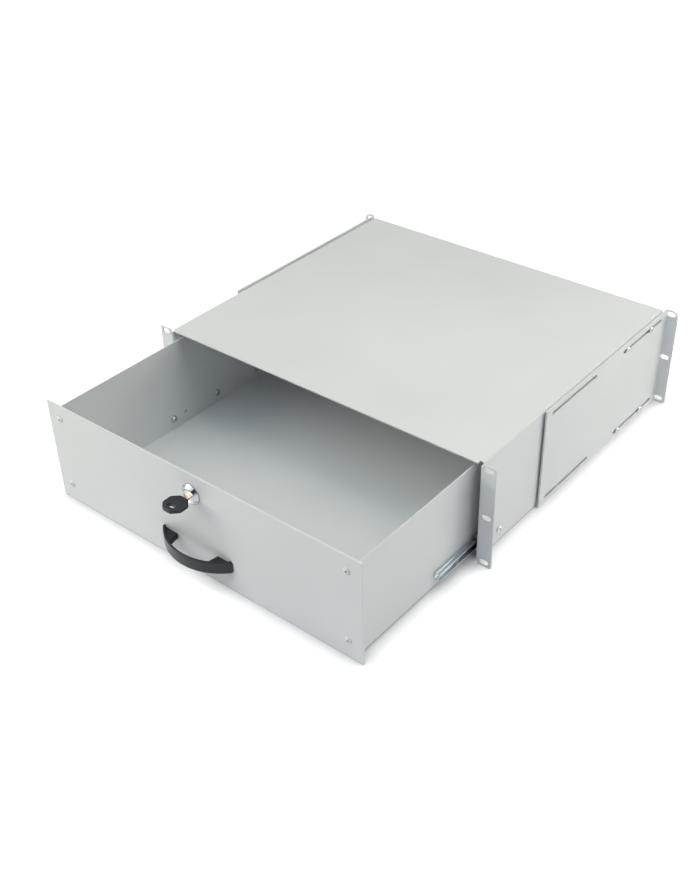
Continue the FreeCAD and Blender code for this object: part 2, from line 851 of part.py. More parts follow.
def make_balls():
    ball = document.addObject("Part::Sphere", "ball")
    bind(ball, "Radius", S.ball_size / 2)
    rows = [(y, level) for y in ball_places() for level in (S.ball_row, -S.ball_row)]
    right = [(ball_place, y, slide_level + level, UPRIGHT) for y, level in rows]
    left = [(-ball_place, y, slide_level + level, UPRIGHT) for y, level in rows]
    return [group("slide_balls_right", ball, right), group("slide_balls_left", ball, left)]


def make_tub():
    body = new_body("drawer_tub")
    half = tub_half
    inside = half - S.tub_sheet
    outer_bend = S.tub_bend + S.tub_sheet
    floor = tub_floor
    floor_top = floor + S.tub_sheet
    leg = S.tub_bend_leg
    front = panel_back
    section = front_sketch(body, "tub_section", front + leg)
    outline(section, [
        (-half, tub_wall_top),
        (-half, floor, outer_bend),
        (half, floor, outer_bend),
        (half, tub_wall_top),
        (inside, tub_wall_top),
        (inside, floor_top, S.tub_bend),
        (-inside, floor_top, S.tub_bend),
        (-inside, tub_wall_top),
    ])
    pad(body, "tub_walls", section, tub_length - leg * 2, reverse=True)

    base = floor + outer_bend
    flanges = plan_sketch(body, "tub_flanges", base)
    for side in (1, -1):
        outline(flanges, [
            (half * side, front + leg),
            (half * side, front, outer_bend),
            ((half - S.tub_flange) * side, front),
            ((half - S.tub_flange) * side, front + S.tub_sheet),
            (inside * side, front + S.tub_sheet, S.tub_bend),
            (inside * side, front + leg),
        ])
    pad(body, "tub_flange_bends", flanges, tub_wall_top - base)

    edge = front_sketch(body, "floor_front", front + leg)
    rectangle(edge, outer_bend - half, half - outer_bend, floor, floor_top)
    pad(body, "floor_front_edge", edge, leg)

    ends = front_sketch(body, "wall_ends", tub_back - leg)
    for side in (1, -1):
        rectangle(ends, inside * side, half * side, base, tub_wall_top)
    pad(body, "wall_rear_ends", ends, leg, reverse=True)

    rear = side_sketch(body, "rear_wall_section")
    outline(rear, [
        (tub_back - leg, floor),
        (tub_back, floor, outer_bend),
        (tub_back, tub_wall_top),
        (tub_back - S.tub_sheet, tub_wall_top),
        (tub_back - S.tub_sheet, floor_top, S.tub_bend),
        (tub_back - leg, floor_top),
    ])
    pad(body, "rear_wall", rear, (inside - S.tub_corner_gap) * 2, both=True)

    holes = side_sketch(body, "tub_slide_holes")
    for y in drawer_screw_places():
        round_hole(holes, y, slide_level, screw_hole)
    spare = drawer_slide_front + S.tub_spare_hole
    round_hole(holes, spare, slide_level, S.tub_spare_hole_size / 2)
    cut(body, "tub_slide_hole_cut", holes)

    rivets = front_sketch(body, "tub_rivet_holes", front)
    for x, z in rivet_places():
        round_hole(rivets, x, z, S.rivet_shank / 2 + S.rivet_gap)
    cut(body, "tub_rivet_hole_cut", rivets, S.tub_sheet * 2)
    return body


def rivet_places():
    return [(rivet_side * side, z) for side in (1, -1) for z in (rivet_upper, rivet_lower)]


def make_panel():
    body = new_body("front_panel")
    half = panel_half
    top = panel_top
    face = front_sketch(body, "panel_outline", panel_back)
    rectangle(face, -half, half, -top, top, S.panel_corner)
    pad(body, "panel_plate", face, S.panel_sheet)
    holes = front_sketch(body, "panel_holes", panel_back)
    for x, z in rivet_places():
        round_hole(holes, x, z, S.rivet_shank / 2 + S.rivet_gap)
    for side in (1, -1):
        round_hole(holes, handle_screw_place * side, handle_foot_level, screw_hole)
    lock_hole(holes)
    cut(body, "panel_hole_cut", holes)
    return body


def lock_hole(sketch):
    """A round hole with two flats, which keep the lock from turning."""
    radius = S.lock_barrel / 2 + S.lock_hole_gap
    flat = S.lock_flats / 2 + S.lock_hole_gap
    reach = (radius * radius - flat * flat).root()
    level = lock_level
    outline(sketch, [
        (-reach, level - flat),
        (reach, level - flat),
        (reach, level + flat),
        (-reach, level + flat),
    ], {1: (NOTHING, level, radius), 3: (NOTHING, level, radius)})


def make_rivets():
    """Blind rivets: a tube with a domed head and a crushed bulb, round the stub of its mandrel."""
    body = new_body("rivet")
    grip = S.panel_sheet + S.tub_sheet
    bore = S.rivet_bore / 2
    shank = S.rivet_shank / 2
    head = S.rivet_head / 2
    bulb = S.rivet_bulb / 2
    end = grip + S.rivet_bulb_length
    dome = (head * head + S.rivet_head_height * S.rivet_head_height) / (S.rivet_head_height * 2)
    drop = dome - (dome * dome - bore * bore).root()
    section = front_sketch(body, "rivet_section")
    outline(section, [
        (bore, -end),
        (shank, -end),
        (bulb, -(grip + S.rivet_bulb_length / 2)),
        (bulb, -grip),
        (shank, -grip),
        (shank, NOTHING),
        (head, NOTHING),
        (bore, S.rivet_head_height - drop),
    ], {6: (NOTHING, S.rivet_head_height - dome, dome)})
    turn(body, "rivet_body", section)

    stub = new_body("mandrel")
    radius = bore - S.rivet_gap
    core = front_sketch(stub, "mandrel_section")
    outline(core, [
        (NOTHING, -(end + S.rivet_bore)),
        (S.mandrel_head / 2, -(end + S.rivet_bore / 2)),
        (S.mandrel_head / 2, -end),
        (radius, -end),
        (radius, S.rivet_head_height - drop - S.mandrel_sink),
        (NOTHING, S.rivet_head_height - drop - S.mandrel_sink),
    ])
    turn(stub, "mandrel_body", core)
    places = [(x, panel_face, z, HEAD_FRONT) for x, z in rivet_places()]
    return [group("panel_rivets", body, places), group("rivet_mandrels", stub, places)]


def make_handle():
    """A bow of plastic whose ends meet the panel, with a lower foot inside each end."""
    body = new_body("handle")
    half = S.handle_length / 2
    reach = S.handle_reach
    radius = (half * half + reach * reach) / (reach * 2)
    centre = panel_face - reach + radius
    inner = radius - S.handle_thickness
    inner_half = (inner * inner - (radius - reach) * (radius - reach)).root()
    plan = plan_sketch(body, "handle_outline", handle_level)
    outline(plan, [
        (half, panel_face),
        (-half, panel_face),
        (-inner_half, panel_face),
        (inner_half, panel_face),
    ], {0: (NOTHING, centre, radius), 2: (NOTHING, centre, inner)})
    bow = pad(body, "handle_bow", plan, S.handle_height, both=True)
    document.recompute()
    edges = []
    top = handle_level + S.handle_height / 2
    bottom = handle_level - S.handle_height / 2
    for index, edge in enumerate(bow.Shape.Edges, start=1):
        box = edge.BoundBox
        outside = abs(box.ZMin - top.value) < SAME or abs(box.ZMin - bottom.value) < SAME
        if box.ZLength < SAME and outside and isinstance(edge.Curve, Part.Circle):
            edges.append(f"Edge{index}")
    rounding = body.newObject("PartDesign::Fillet", "handle_rounding")
    rounding.Base = (bow, edges)
    bind(rounding, "Radius", S.handle_round)

    corners = front_sketch(body, "handle_end_corners", panel_face)
    spare = S.handle_height
    rectangle(corners, -half, half, bottom, top, S.handle_end_round)
    rectangle(corners, -(half + spare), half + spare, bottom - spare, top + spare)
    cut(body, "handle_end_cut", corners)

    root = handle_foot - S.handle_foot_lean
    middle = radius - S.handle_thickness / 2
    middle_half = (middle * middle - (radius - reach) * (radius - reach)).root()
    depth = centre - (middle * middle - root * root).root()
    feet = plan_sketch(body, "handle_feet", handle_foot_level)
    for side in (1, -1):
        outline(feet, [
            (handle_foot * side, panel_face),
            (root * side, depth),
            (middle_half * side, panel_face),
        ], {1: (NOTHING, centre, middle)})
    pad(body, "handle_foot_blocks", feet, S.handle_foot_height, both=True)
    holes = front_sketch(body, "handle_screw_holes", panel_face)
    for side in (1, -1):
        round_hole(holes, handle_screw_place * side, handle_foot_level, screw_hole)
    cut(body, "handle_hole_cut", holes, S.handle_screw_depth, reverse=True)
    return body


def make_pan_screw(name, length, head=None, height=None, size=None):
    """A screw with a sloped head and a cross recess; its head stands on the sketch's origin."""
    head = (head or S.pan_head) / 2
    height = height or S.pan_head_height
    size = (size or S.screw_size) / 2
    body = new_body(name)
    section = front_sketch(body, f"{name}_section")
    outline(section, [
        (NOTHING, -length),
        (size, -length),
        (size, NOTHING),
        (head, NOTHING),
        (head, height - S.pan_head_slope),
        (head - S.pan_head_slope, height),
        (NOTHING, height),
    ])
    turn(body, f"{name}_body", section)
    cross = plan_sketch(body, f"{name}_recess", height)
    reach = S.recess_length / 2
    arm = S.recess_width / 2
    outline(cross, [
        (arm, arm), (arm, reach), (-arm, reach), (-arm, arm), (-reach, arm), (-reach, -arm),
        (-arm, -arm), (-arm, -reach), (arm, -reach), (arm, -arm), (reach, -arm), (reach, arm),
    ])
    cut(body, f"{name}_recess_cut", cross, S.recess_depth)
    return body


def make_cover_screws():
    grip = S.cover_sheet + S.cover_slide_sheet
    pan = make_pan_screw("cover_pan_screw", grip)
    y = S.cover_slide_front + S.cover_screw_place
    places = [(x, y, slide_level, rotation) for x, rotation in both_sides(cover_half)]
    front = group("cover_slide_screws", pan, places)

    flat = new_body("flat_screw")
    shank = S.flat_screw_size / 2
    section = front_sketch(flat, "flat_screw_section")
    outline(section, [
        (NOTHING, S.flat_head_sink - grip),
        (shank, S.flat_head_sink - grip),
        (shank, -S.flat_head_height),
        (S.flat_head / 2, NOTHING),
        (NOTHING, NOTHING),
    ])
    turn(flat, "flat_screw_body", section)
    places = []
    for y in flat_screw_places():
        for x, rotation in both_sides(cover_half - S.flat_head_sink):
            places.append((x, y, slide_level, rotation))
    return [front, group("cover_slide_flat_screws", flat, places)]


def make_clamp_bolts():
    """Bolts through the slots, and the spacers that hold the brackets off the cover."""
    length = S.bracket_sheet + S.bracket_gap + S.cover_sheet + S.clamp_bolt_end
    bolt = make_pan_screw("clamp_bolt", length, S.clamp_bolt_head, S.clamp_bolt_head_height)
    spacer = make_ring("spacer", S.spacer_size, S.bracket_gap)
    bolts, spacers = [], []
    for y in (front_bolt, rear_bolt):
        for level in (clamp_level, -clamp_level):
            bolts += [(x, y, level, rotation) for x, rotation in both_sides(bracket_face)]
            spacers += [(x, y, level, rotation) for x, rotation in both_sides(cover_half)]
    return [group("bracket_bolts", bolt, bolts), group("bracket_spacers", spacer, spacers)]


def make_ring(name, size, thickness):
    """A flat ring for a screw to pass through, drawn lying down."""
    body = new_body(name)
    sketch = plan_sketch(body, f"{name}_outline")
    round_hole(sketch, NOTHING, NOTHING, size / 2)
    round_hole(sketch, NOTHING, NOTHING, screw_hole)
    pad(body, f"{name}_body", sketch, thickness)
    return body


def make_drawer_slide_fixings():
    """Screws from inside the tub, with a washer under each head and a nut in the channel."""
    inside = tub_half - S.tub_sheet
    seat = inside - S.washer_thickness
    nut_face = tub_half + S.drawer_slide_sheet
    length = nut_face + S.nut_thickness + S.nut_screw_spare - seat
    screw = make_pan_screw("drawer_screw", length)

    washer = make_ring("washer", S.washer_size, S.washer_thickness)
    nut_flats = (slide_web_half - S.nut_side_gap) * 2
    nut = make_nut("nut", nut_flats, screw_hole, S.nut_thickness)
    screws, washers, nuts = [], [], []
    for y in drawer_screw_places():
        for side in (1, -1):
            inward = HEAD_LEFT if side > 0 else HEAD_RIGHT
            outward = HEAD_RIGHT if side > 0 else HEAD_LEFT
            screws.append((seat * side, y, slide_level, inward))
            washers.append((seat * side, y, slide_level, outward))
            nuts.append((nut_face * side, y, slide_level, outward))
    return [
        group("drawer_slide_screws", screw, screws),
        group("drawer_slide_washers", washer, washers),
        group("drawer_slide_nuts", nut, nuts),
    ]


def make_nut(name, flats, bore, thickness):
    """A six-sided nut with two of its flats square to the X axis, drawn lying down."""
    body = new_body(name)
    sketch = plan_sketch(body, f"{name}_outline")
    corners = []
    half_side = math.pi / HEXAGON
    reach = flats / (2 * math.cos(half_side))
    for index in range(HEXAGON):
        angle = half_side * (2 * index + 1)
        corners.append((reach * math.cos(angle), reach * math.sin(angle)))
    outline(sketch, corners)
    round_hole(sketch, NOTHING, NOTHING, bore)
    pad(body, f"{name}_body", sketch, thickness)
    return body


def make_handle_screws():
    screw = make_pan_screw("handle_screw", S.panel_sheet + S.handle_screw_depth - S.handle_screw_spare)
    places = []
    for side in (1, -1):
        places.append((handle_screw_place * side, panel_back, handle_foot_level, HEAD_BACK))
    return group("handle_screws", screw, places)


def lock_body(name):
    """A body whose own origin is on the lock's axis, at the panel's front face."""
    body = new_body(name)
    place(body, NOTHING, panel_face, lock_level)
    return body


def make_lock_housing():
    body = lock_body("lock_housing")
    bore = S.plug_size / 2 + S.plug_gap
    barrel = S.lock_barrel / 2
    ring = S.lock_ring / 2
    front = S.lock_ring_thickness
    section = side_sketch(body, "housing_section")
    outline(section, [
        (S.lock_barrel_length, bore),
        (S.lock_barrel_length, barrel),
        (NOTHING, barrel),
        (NOTHING, ring),
        (-front + S.lock_ring_edge, ring),
        (-front, S.lock_ring_face / 2),
        (-front, S.lock_dish_mouth / 2),
        (S.lock_dish_depth - front, S.lock_dish_floor / 2),
        (S.lock_dish_depth - front, bore),
    ])
    turn(body, "housing_body", section, "H_Axis")
    flats = front_sketch(body, "housing_flats")
    for side in (1, -1):
        near = S.lock_flats / 2 * side
        far = S.lock_barrel * side
        rectangle(flats, -S.lock_barrel, S.lock_barrel, near, far)
    cut(body, "housing_flat_cut", flats, S.lock_barrel_length)
    return body


def make_lock_nut():
    bore = S.lock_barrel / 2 + S.lock_hole_gap
    body = make_nut("lock_nut", S.lock_nut_flats, bore, S.lock_nut_thickness)
    body.Placement = FreeCAD.Placement(vector(0, 0, 0), HEAD_BACK)
    place(body, NOTHING, panel_back, lock_level)
    return body


def make_plug():
    """The turning part of the lock: keyway in front, a square for the cam behind."""
    body = lock_body("lock_plug")
    radius = S.plug_size / 2
    section = side_sketch(body, "plug_section")
    rectangle(section, plug_front, plug_shoulder, NOTHING, radius)
    turn(body, "plug_body", section, "H_Axis")
    half = S.cam_square / 2
    tang = front_sketch(body, "plug_square", plug_shoulder)
    rectangle(tang, -half, half, -half, half)
    pad(body, "plug_tang", tang, S.cam_thickness, reverse=True)
    keyway = front_sketch(body, "keyway", plug_front)
    wide = S.key_width / 2 + S.key_gap
    high = S.key_thickness / 2 + S.key_gap
    rectangle(keyway, -wide, wide, -high, high)
    cut(body, "keyway_cut", keyway, S.key_inside + S.keyway_end)
    bore = front_sketch(body, "cam_screw_hole", cam_back)
    round_hole(bore, NOTHING, NOTHING, S.cam_screw_size / 2 + S.screw_hole_gap)
    cut(body, "cam_screw_hole_cut", bore, S.cam_screw_length, reverse=True)
    return body


def make_cam():
    """The arm that turns up behind the strike; it is drawn level, as the open lock holds it."""
    body = lock_body("lock_cam")
    hub = front_sketch(body, "cam_hub_outline", plug_shoulder)
    round_hole(hub, NOTHING, NOTHING, S.cam_hub / 2)
    pad(body, "cam_hub_plate", hub, S.cam_thickness, reverse=True)
    arm = front_sketch(body, "cam_arm_outline", plug_shoulder)
    half = S.cam_width / 2
    outline(arm, [
        (NOTHING, half),
        (-cam_length, half, S.cam_corner),
        (-cam_length, -half, S.cam_corner),
        (NOTHING, -half),
    ])
    pad(body, "cam_arm", arm, S.cam_thickness, reverse=True)
    square = front_sketch(body, "cam_square_hole", plug_shoulder)
    side = S.cam_square / 2 + S.plug_gap
    rectangle(square, -side, side, -side, side)
    cut(body, "cam_square_cut", square)
    return body


def make_cam_screw():
    screw = make_pan_screw(
        "cam_screw", S.cam_screw_length - S.plug_end,
        S.cam_screw_head, S.cam_screw_head_height, S.cam_screw_size)
    screw.Placement = FreeCAD.Placement(vector(0, 0, 0), HEAD_BACK)
    place(screw, NOTHING, panel_face + cam_back, lock_level)
    return screw


def make_key_blade():
    """A flat key with V notches along one edge, and a tang that the head is moulded round."""
    body = lock_body("key_blade")
    half = S.key_width / 2
    thin = S.key_thickness / 2
    sketch = plan_sketch(body, "key_outline")
    corners = [
        (-half, key_shoulder - S.key_tang),
        (-half, key_end - S.key_tip),
        (S.key_tip - half, key_end),
        (half - S.key_tip, key_end),
        (half, key_end - S.key_tip),
    ]
    top = key_end - S.key_tip - S.key_notch_pitch / 2
    for _ in range(KEY_NOTCHES):
        corners.append((half, top))
        corners.append((half - S.key_notch, top - S.key_notch_pitch / 2))
        top = top - S.key_notch_pitch
    corners.append((half, top))
    corners.append((half, key_shoulder - S.key_tang))
    outline(sketch, corners)
    pad(body, "key_plate", sketch, thin * 2, both=True)
    return body


def make_key_head():
    """An eight-sided plastic head, soft at its corners, with a long hole for a ring."""
    body = lock_body("key_head")
    half = S.key_head / 2
    middle = key_shoulder - half
    side = half * math.tan(math.pi / OCTAGON)
    sketch = plan_sketch(body, "key_head_outline")
    corners = [
        (side, middle - half), (half, middle - side), (half, middle + side),
        (side, middle + half), (-side, middle + half), (-half, middle + side),
        (-half, middle - side), (-side, middle - half),
    ]
    outline(sketch, [corner + (S.key_head_corner,) for corner in corners])
    plate = pad(body, "key_head_plate", sketch, S.key_head_thickness, both=True)
    document.recompute()
    edges = []
    level = S.key_head_thickness.value / 2
    for index, edge in enumerate(plate.Shape.Edges, start=1):
        box = edge.BoundBox
        if box.ZLength < SAME and abs(abs(box.ZMin) - level) < SAME:
            edges.append(f"Edge{index}")
    bevel = body.newObject("PartDesign::Chamfer", "key_head_bevel")
    bevel.Base = (plate, edges)
    bind(bevel, "Size", S.key_head_edge)
    hole = plan_sketch(body, "key_ring_hole")
    long_hole(hole, NOTHING, middle - S.key_hole_place, S.key_hole_length, S.key_hole_width)
    cut(body, "key_ring_hole_cut", hole)
    socket = front_sketch(body, "key_tang_socket", key_shoulder)
    wide = S.key_width / 2
    thin = S.key_thickness / 2
    rectangle(socket, -wide, wide, -thin, thin)
    cut(body, "key_tang_cut", socket, S.key_tang, reverse=True)
    return body


def make_everything():
    cover = make_countersinks(make_cover())
    bracket = make_bracket()
    cover_slide = make_cover_slide()
    drawer_slide = make_drawer_slide()
    cage = make_cage()
    pieces = [cover, make_strike(), bracket, cover_slide, drawer_slide, cage]
    pieces.append(mirror("rear_bracket_left", bracket))
    pieces.append(mirror("cover_slide_left", cover_slide))
    pieces.append(mirror("drawer_slide_left", drawer_slide))
    pieces.append(mirror("ball_cage_left", cage))
    pieces += make_balls()
    pieces += make_cover_screws()
    pieces += make_clamp_bolts()
    pieces += [make_tub(), make_panel()]
    pieces += make_rivets()
    pieces += [make_handle(), make_handle_screws()]
    pieces += make_drawer_slide_fixings()
    pieces += [make_lock_housing(), make_lock_nut()]
    pieces += [make_plug(), make_cam(), make_cam_screw()]
    pieces += [make_key_blade(), make_key_head()]
    return pieces


pieces = make_everything()
document.recompute()
for item in document.Objects:
    if "Invalid" in item.State or "Error" in item.State:
        raise RuntimeError(f"{item.Name} failed: {item.State}")
for piece in pieces:
    if piece.Shape.isNull() or not piece.Shape.isValid():
        raise RuntimeError(f"{piece.Label} has no valid shape")
os.makedirs("parts", exist_ok=True)
for piece in pieces:
    piece.Shape.exportStep(f"parts/{piece.Label}.step")
    box = piece.Shape.BoundBox
    print(f"{piece.Label}: {len(piece.Shape.Solids)} solids, {piece.Shape.Volume:.1f} mm3, "
          f"x {box.XMin:.2f} {box.XMax:.2f} y {box.YMin:.2f} {box.YMax:.2f} "
          f"z {box.ZMin:.2f} {box.ZMax:.2f}")
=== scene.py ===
# %% [markdown]
# A locking drawer for a 19-inch rack, half pulled out of its sheet-steel cover.
# The shapes come from the CAD model, which is loaded as a fixed frame. This lesson dresses them:
# it gives every piece the finish of the real one, adds the one fine part that the CAD model
# leaves out, the lock's thread, and sets up the camera and the light of a product photograph.

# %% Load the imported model
import math

import bpy
from mathutils import Matrix, Vector


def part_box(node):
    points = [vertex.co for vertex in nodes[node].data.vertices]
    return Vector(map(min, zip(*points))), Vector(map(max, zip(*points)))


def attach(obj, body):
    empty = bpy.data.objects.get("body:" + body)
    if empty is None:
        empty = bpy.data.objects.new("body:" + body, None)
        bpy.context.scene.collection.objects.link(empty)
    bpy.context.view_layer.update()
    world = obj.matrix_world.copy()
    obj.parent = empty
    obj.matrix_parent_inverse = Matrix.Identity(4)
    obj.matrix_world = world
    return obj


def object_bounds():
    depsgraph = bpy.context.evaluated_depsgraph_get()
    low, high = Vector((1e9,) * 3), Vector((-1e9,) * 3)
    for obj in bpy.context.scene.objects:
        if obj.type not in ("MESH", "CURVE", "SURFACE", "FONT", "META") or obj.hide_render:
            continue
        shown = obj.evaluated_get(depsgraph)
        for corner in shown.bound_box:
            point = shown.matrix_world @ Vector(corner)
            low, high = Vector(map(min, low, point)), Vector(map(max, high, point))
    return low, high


MM = 0.001
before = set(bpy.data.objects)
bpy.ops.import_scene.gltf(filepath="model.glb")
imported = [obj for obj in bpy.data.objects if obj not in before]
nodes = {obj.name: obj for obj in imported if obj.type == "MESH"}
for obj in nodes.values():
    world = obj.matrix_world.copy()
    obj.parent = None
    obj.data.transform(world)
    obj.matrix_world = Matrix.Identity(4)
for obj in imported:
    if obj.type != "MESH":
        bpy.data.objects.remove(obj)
cad_low, cad_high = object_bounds()
print("CAD nodes:", len(nodes), "box in mm:", [round(side / MM, 1) for side in cad_high - cad_low])

# %% [markdown]
# The camera stands to the right of the drawer, a little over a metre away, and looks down at it.
# Its place and its turns were worked out from the photograph, by matching the corners of the
# cover and of the front panel, whose real sizes are known from the rack standard. The lens
# follows from the same match: the focal length in picture points becomes millimetres once it
# is compared with the width of the sensor. The turns are in radians.

# %% Set up the camera
PICTURE_WIDTH = 700
SENSOR_WIDTH = 36.0
CAMERA_PLACE = Vector((0.7184, -0.8040, 0.7617))
CAMERA_TURN = 0.693
CAMERA_TILT = -0.620
CAMERA_ROLL = -0.023
FOCAL_POINTS = 1161.8


def camera_axes(turn, tilt, roll):
    """The camera's right, up and backward directions. It is turned to the left from the depth
    axis, tilted down from level, and then rolled."""
    level = math.cos(tilt)
    ahead = Vector((-math.sin(turn) * level, math.cos(turn) * level, math.sin(tilt)))
    level_right = ahead.cross(Vector((0, 0, 1))).normalized()
    level_up = level_right.cross(ahead)
    right = math.cos(roll) * level_right + math.sin(roll) * level_up
    up = math.cos(roll) * level_up - math.sin(roll) * level_right
    return right, up, -ahead


bpy.ops.object.camera_add(location=CAMERA_PLACE)
camera = bpy.context.object
camera.name = "photo_camera"
camera.matrix_world = Matrix.Translation(CAMERA_PLACE) @ Matrix(
    camera_axes(CAMERA_TURN, CAMERA_TILT, CAMERA_ROLL)).transposed().to_4x4()
camera.data.sensor_fit = "HORIZONTAL"
camera.data.sensor_width = SENSOR_WIDTH
camera.data.lens = FOCAL_POINTS * SENSOR_WIDTH / PICTURE_WIDTH
bpy.context.scene.camera = camera
bpy.context.scene.view_settings.view_transform = "Standard"
print("Camera with a lens of", round(camera.data.lens, 1), "mm")

# %% [markdown]
# Colours are written as a painter's hex values, as a screen shows them. Blender mixes light in
# linear values, so one function turns the first into the second. A second small function adds a
# shader node: its settings, and what goes into each of its sockets, which is either a plain value
# or the output of another node. A colour ramp also gets its steps. A third function starts an
# empty material. All the finishes below are built with these three. The values of a noise
# pattern lie mostly between 0.3 and 0.7, so a ramp's first and last steps stand there.

# %% Helpers for colours and shader nodes
NOISE_LOW = 0.3
NOISE_HIGH = 0.7
WHITE = (1.0, 1.0, 1.0, 1.0)
BLACK = (0.0, 0.0, 0.0, 1.0)


def linear(hex_colour):
    """A colour such as #C8CCC9 as linear red, green, blue and a full alpha. The numbers in it
    are those of the sRGB standard."""
    channels = [int(hex_colour[start:start + 2], 16) / 255 for start in (1, 3, 5)]
    mixed = [part / 12.92 if part <= 0.04045 else ((part + 0.055) / 1.055) ** 2.4
             for part in channels]
    return (*mixed, 1.0)


def add_node(tree, kind, inputs=None, steps=(), **settings):
    """Add a node to a tree and return it, with its settings made and its inputs fed. A colour
    ramp's steps are pairs of an amount, from 0 to 1, and the hex colour that it becomes."""
    node = tree.nodes.new(kind)
    for name, value in settings.items():
        setattr(node, name, value)
    for name, value in (inputs or {}).items():
        if isinstance(value, bpy.types.NodeSocket):
            tree.links.new(value, node.inputs[name])
        else:
            node.inputs[name].default_value = value
    for index, (position, colour) in enumerate(steps):
        if index >= len(node.color_ramp.elements):
            node.color_ramp.elements.new(position)
        node.color_ramp.elements[index].position = position
        node.color_ramp.elements[index].color = linear(colour)
    return node


def new_finish(name):
    """An empty material: its tree, and the place on the piece in metres, for its patterns."""
    finish = bpy.data.materials.new(name)
    finish.use_nodes = True
    finish.node_tree.nodes.clear()
    place = add_node(finish.node_tree, "ShaderNodeTexCoord").outputs["Object"]
    return finish, finish.node_tree, place


print("Colour check, mid grey:", round(linear("#808080")[0], 3))

# %% [markdown]
# The drawer stands on a white table in a white room. The floor is a real surface, so that it
# takes the soft shadow. What the camera and the reflections see of it also has some light of its
# own, which brings it to a clean white without putting more light on the drawer. It glows more
# where it is far from the drawer, because the lamps don't reach out there. Close to the drawer
# the room's light is hidden, so an Ambient Occlusion node, which measures how much of the room a
# point of the floor can't see, darkens a narrow rim. Only the camera sees that rim: the floor's
# real shadow already dims the light that bounces back at the drawer, and it isn't counted twice.

# %% Build the floor
FLOOR_SIZE = 30.0
NEAR_GLOW = 0.55
FAR_GLOW = 1.0
NEAR_EDGE = 0.6
FAR_EDGE = 1.6
SHADOW_REACH = 26 * MM
SHADOW_DEPTH = 0.9
SHADOW_SAMPLES = 8
floor_level = cad_low.z

bpy.ops.mesh.primitive_plane_add(size=FLOOR_SIZE, location=(0, 0, floor_level))
floor = bpy.context.object
floor.name = "studio_floor"
floor_finish = bpy.data.materials.new("white_floor")
floor_finish.use_nodes = True
tree = floor_finish.node_tree
tree.nodes.clear()
rays = add_node(tree, "ShaderNodeLightPath").outputs
reflected = add_node(tree, "ShaderNodeMath", {
    0: rays["Is Glossy Ray"], 1: rays["Is Transmission Ray"]})
seen = add_node(tree, "ShaderNodeMath", {0: reflected.outputs[0], 1: rays["Is Camera Ray"]})
spot = add_node(tree, "ShaderNodeTexCoord").outputs["Object"]
away = add_node(tree, "ShaderNodeVectorMath", {0: spot}, operation="LENGTH").outputs["Value"]
whiter = add_node(tree, "ShaderNodeMapRange", {
    "Value": away, "From Min": NEAR_EDGE, "From Max": FAR_EDGE,
    "To Min": NEAR_GLOW, "To Max": FAR_GLOW})
glow = add_node(tree, "ShaderNodeMath", {0: seen.outputs[0], 1: whiter.outputs["Result"]},
                operation="MULTIPLY")
matt_white = add_node(tree, "ShaderNodeBsdfDiffuse", {"Color": linear("#F1F0F5")})
shine = add_node(tree, "ShaderNodeEmission", {"Color": WHITE, "Strength": glow.outputs[0]})
lit_floor = add_node(tree, "ShaderNodeAddShader", {0: matt_white.outputs[0], 1: shine.outputs[0]})
open_room = add_node(tree, "ShaderNodeAmbientOcclusion", {"Distance": SHADOW_REACH},
                     samples=SHADOW_SAMPLES)
hidden = add_node(tree, "ShaderNodeMath", {0: 1.0, 1: open_room.outputs["AO"]},
                  operation="SUBTRACT")
depth = add_node(tree, "ShaderNodeMath", {0: rays["Is Camera Ray"], 1: SHADOW_DEPTH},
                 operation="MULTIPLY")
rim = add_node(tree, "ShaderNodeMath", {0: hidden.outputs[0], 1: depth.outputs[0]},
               operation="MULTIPLY")
black = add_node(tree, "ShaderNodeBsdfDiffuse", {"Color": BLACK})
shaded_floor = add_node(tree, "ShaderNodeMixShader", {
    0: rim.outputs[0], 1: lit_floor.outputs[0], 2: black.outputs[0]})
add_node(tree, "ShaderNodeOutputMaterial", {"Surface": shaded_floor.outputs[0]})
floor.data.materials.append(floor_finish)
print("Floor at", round(floor_level / MM, 1), "mm")

# %% [markdown]
# The camera sees a plain white room, and what lights the drawer from it is a weak bluish fill.
# Polished metal needs something dark to reflect, or it looks like white plastic. In a real studio
# that is the unlit side where the photographer stands, so the reflections see the room as white
# all round, but dark in a soft round patch in that direction. The patch's core and edge are given
# as cosines of the angle away from its middle.

# %% Build the world
SKY_LIGHT = 0.03
SKY_TINT = (0.75, 0.75, 1.5, 1.0)
DARK_SIDE = Vector((0.25, -0.80, 0.52)).normalized()
DARK_CORE = 0.93
DARK_EDGE = 0.78
DARK_LEVEL = 0.06

world = bpy.data.worlds.new("white_room")
bpy.context.scene.world = world
world.use_nodes = True
tree = world.node_tree
tree.nodes.clear()
rays = add_node(tree, "ShaderNodeLightPath").outputs
reflected = add_node(tree, "ShaderNodeMath", {
    0: rays["Is Glossy Ray"], 1: rays["Is Transmission Ray"]}, use_clamp=True)
direction = add_node(tree, "ShaderNodeTexCoord").outputs["Generated"]
near_dark = add_node(tree, "ShaderNodeVectorMath", {0: direction, 1: DARK_SIDE},
                     operation="DOT_PRODUCT").outputs["Value"]
level = add_node(tree, "ShaderNodeMapRange", {
    "Value": near_dark, "From Min": DARK_EDGE, "From Max": DARK_CORE,
    "To Min": 1.0, "To Max": DARK_LEVEL})
light_room = add_node(tree, "ShaderNodeBackground", {"Color": SKY_TINT, "Strength": SKY_LIGHT})
mirrored_room = add_node(tree, "ShaderNodeBackground", {
    "Color": WHITE, "Strength": level.outputs["Result"]})
seen_room = add_node(tree, "ShaderNodeBackground", {"Color": WHITE, "Strength": 1.0})
unseen_room = add_node(tree, "ShaderNodeMixShader", {
    0: reflected.outputs[0], 1: light_room.outputs[0], 2: mirrored_room.outputs[0]})
